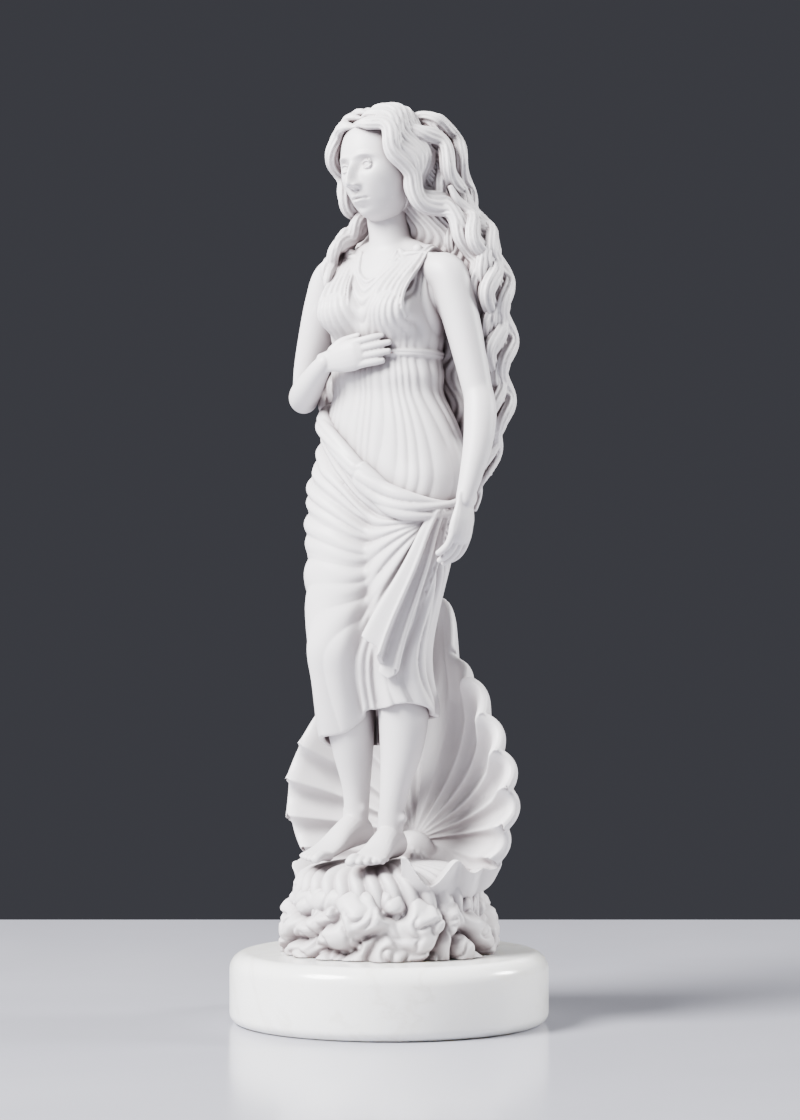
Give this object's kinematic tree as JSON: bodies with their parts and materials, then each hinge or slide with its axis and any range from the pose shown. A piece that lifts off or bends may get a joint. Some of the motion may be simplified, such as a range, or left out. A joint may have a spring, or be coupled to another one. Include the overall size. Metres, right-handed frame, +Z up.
{
  "type": "statuette",
  "caption": "Marble statuette of a draped standing nymph on a scallop shell and rockwork, on a round turned plinth, for standing on a shelf or table.",
  "frame": {"origin": "centre of the plinth's flat underside", "axes": "+Z up along the plinth's axis, -Y the way the figure faces, +X towards the figure's left hand"},
  "size_m": [0.102, 0.102, 0.2936],
  "materials": {
    "bonded_marble": "matte white, cast marble powder and resin",
    "alabaster": "polished, warm white and faintly translucent"
  },
  "bodies": {
    "root": {"statuette": "bonded_marble", "plinth": "alabaster"}
  },
  "joints": []
}
